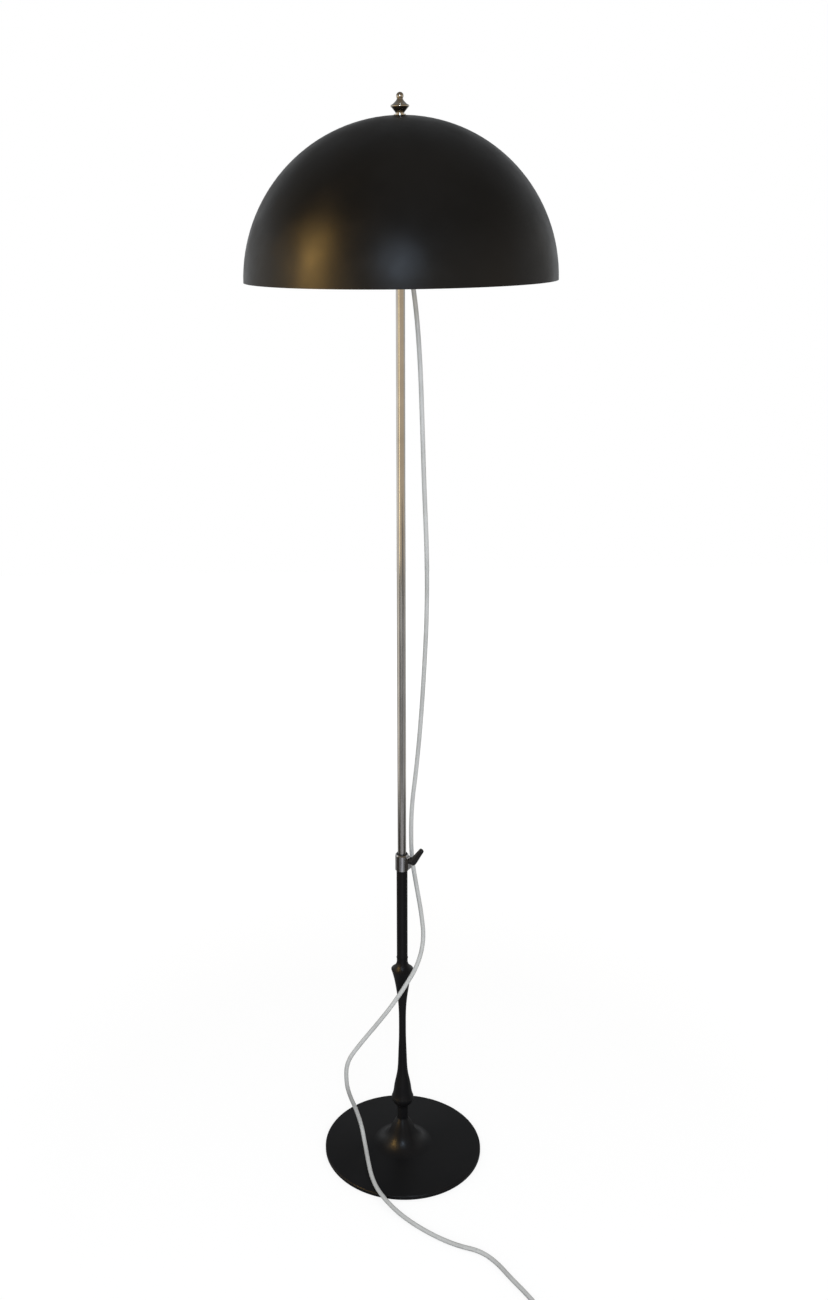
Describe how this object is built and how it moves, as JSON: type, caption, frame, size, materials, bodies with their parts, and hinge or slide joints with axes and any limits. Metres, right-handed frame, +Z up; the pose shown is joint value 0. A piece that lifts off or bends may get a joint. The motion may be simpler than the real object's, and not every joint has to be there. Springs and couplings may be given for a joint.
{
  "type": "mushroom floor lamp",
  "caption": "Floor lamp with a hemispherical metal shade on a height-adjustable pole, a turned stem and a round weighted foot, with a hand lever clamp and a mains lead.",
  "frame": {"origin": "centre of the round foot's underside, on the floor", "axes": "+Z up along the pole, +X to the side that the clamp's lever points to, -Y towards the front"},
  "size_m": [0.4305, 0.6988, 1.5192],
  "materials": {
    "black_enamel": "satin",
    "shade_enamel": "satin outside, white inside",
    "chrome": "polished",
    "nickel": "polished, slightly warm",
    "zinc": "dull plated",
    "iron": "raw",
    "felt": "pressed felt",
    "black_plastic": "gloss",
    "nylon": "matt",
    "holder_plastic": "satin",
    "brass": "plain",
    "glass": "opal",
    "lead": "aged off-white"
  },
  "bodies": {
    "base": {"felt_pad": "felt", "base_weight": "iron", "base_cover": "black_enamel", "base_washer": "zinc", "base_nut": "zinc", "base_stud": "zinc", "stem": "black_enamel", "outer_tube": "black_enamel", "clamp_collar": "nickel", "tube_bush": "nylon", "clamp_pad": "nylon", "cord_lower": "lead", "cord_coil": "lead", "plug_body": "lead", "plug_pins": "nickel"},
    "pole": {"inner_tube": "chrome", "tube_foot": "nylon", "cluster_body": "nickel", "center_rod": "zinc", "rod_locknut": "zinc", "cord_gland": "holder_plastic", "shade_washer": "zinc", "shade": "shade_enamel", "top_washer": "nickel", "cord_hanging": "lead", "lampholder_left": "holder_plastic", "holder_insert_left": "brass", "bulb_cap_left": "nickel", "bulb_glass_left": "glass", "lampholder_right": "holder_plastic", "holder_insert_right": "brass", "bulb_cap_right": "nickel", "bulb_glass_right": "glass"},
    "lever": {"clamp_screw": "zinc", "clamp_lever": "black_plastic"},
    "finial": {"finial": "nickel"}
  },
  "joints": [
    {"name": "height_slide", "type": "slide", "parent": "base", "child": "pole", "axis": [0, 0, 1], "range_m": [-0.11, 0.04], "deforming": ["cord_hanging"]},
    {"name": "lever_turn", "type": "hinge", "parent": "base", "child": "lever", "pos_m": [0, 0, 0.4828], "axis": [0.8192, -0.5736, 0], "range_deg": [0, 150]},
    {"name": "finial_turn", "type": "hinge", "parent": "pole", "child": "finial", "pos_m": [0, 0, 1.5], "axis": [0, 0, 1], "continuous": true}
  ]
}
